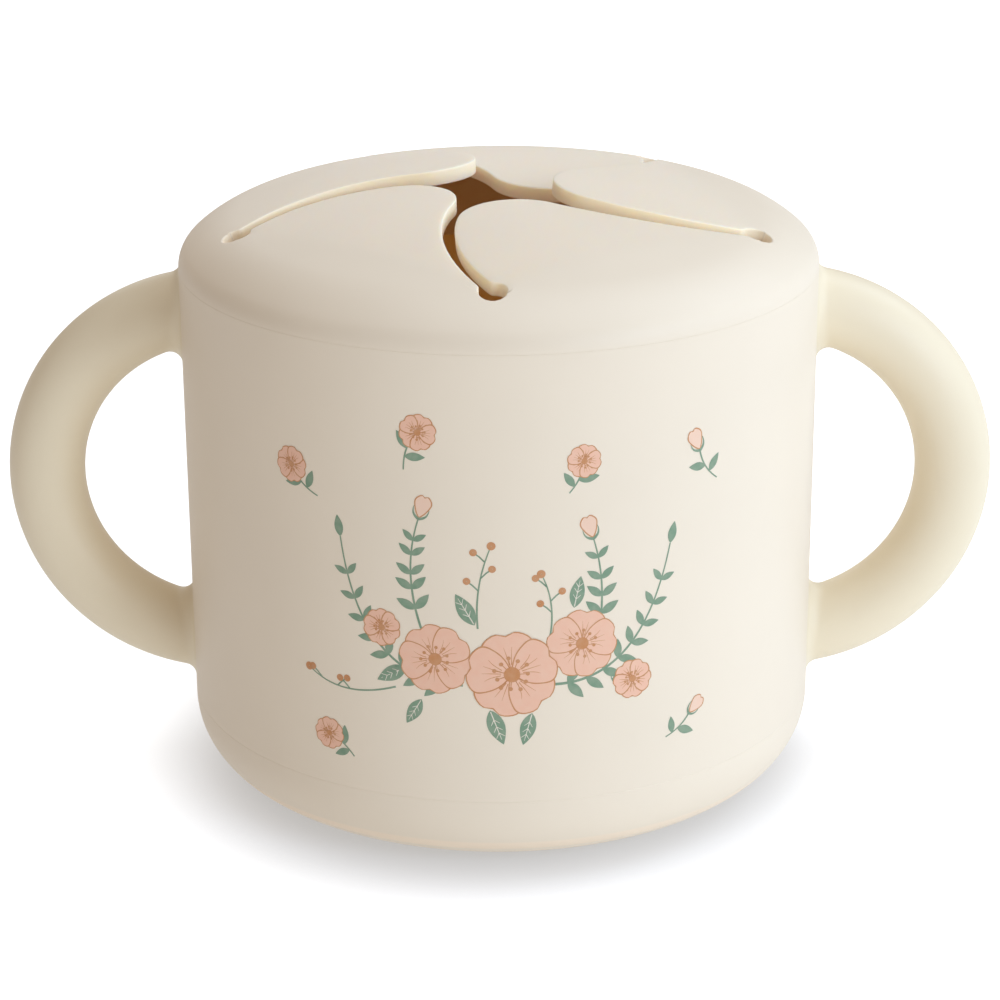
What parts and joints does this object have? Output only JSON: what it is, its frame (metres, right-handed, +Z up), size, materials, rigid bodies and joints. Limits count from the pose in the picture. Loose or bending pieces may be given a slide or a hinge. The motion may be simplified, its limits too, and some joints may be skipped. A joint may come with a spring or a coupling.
{
  "type": "snack container",
  "caption": "Soft silicone snack cup for a toddler, with ring handles at both sides and a domed lid of curved flaps that a small hand pushes through.",
  "frame": {"origin": "middle of the flat base, on the surface the cup stands on", "axes": "+Z up along the cup's axis, +X towards the right handle, -Y towards the front"},
  "size_m": [0.1386, 0.088, 0.0846],
  "materials": {
    "cup_silicone": "matt cream silicone with a flat printed floral pattern",
    "handle_silicone": "matt cream silicone, satin where hands hold it",
    "lid_silicone": "matt cream silicone, soft and thin enough to bend"
  },
  "bodies": {
    "cup": {"cup_body": "cup_silicone", "handle_left": "handle_silicone", "handle_right": "handle_silicone"},
    "lid": {"lid_collar": "lid_silicone"},
    "flap_front_right": {"flap_front_right": "lid_silicone"},
    "flap_back_right": {"flap_back_right": "lid_silicone"},
    "flap_back": {"flap_back": "lid_silicone"},
    "flap_left": {"flap_left": "lid_silicone"},
    "flap_front_left": {"flap_front_left": "lid_silicone"}
  },
  "joints": [
    {"name": "lid_lift", "type": "slide", "parent": "cup", "child": "lid", "axis": [0, 0, 1], "range_m": [0, 0.06]},
    {"name": "flap_front_right_bend", "type": "hinge", "parent": "lid", "child": "flap_front_right", "pos_m": [0.01695, -0.02438, 0.07912], "axis": [0.8211, 0.5707, 0], "range_deg": [-65, 35], "stiffness_Nm_per_rad": 0.02},
    {"name": "flap_back_right_bend", "type": "hinge", "parent": "lid", "child": "flap_back_right", "pos_m": [0.02842, 0.00858, 0.07912], "axis": [-0.289, 0.9573, 0], "range_deg": [-65, 35], "stiffness_Nm_per_rad": 0.02},
    {"name": "flap_back_bend", "type": "hinge", "parent": "lid", "child": "flap_back", "pos_m": [0.00062, 0.02968, 0.07912], "axis": [-0.9998, 0.0209, 0], "range_deg": [-65, 35], "stiffness_Nm_per_rad": 0.02},
    {"name": "flap_left_bend", "type": "hinge", "parent": "lid", "child": "flap_left", "pos_m": [-0.02804, 0.00976, 0.07912], "axis": [-0.3289, -0.9444, 0], "range_deg": [-65, 35], "stiffness_Nm_per_rad": 0.02},
    {"name": "flap_front_left_bend", "type": "hinge", "parent": "lid", "child": "flap_front_left", "pos_m": [-0.01795, -0.02365, 0.07912], "axis": [0.7965, -0.6046, 0], "range_deg": [-65, 35], "stiffness_Nm_per_rad": 0.02}
  ]
}
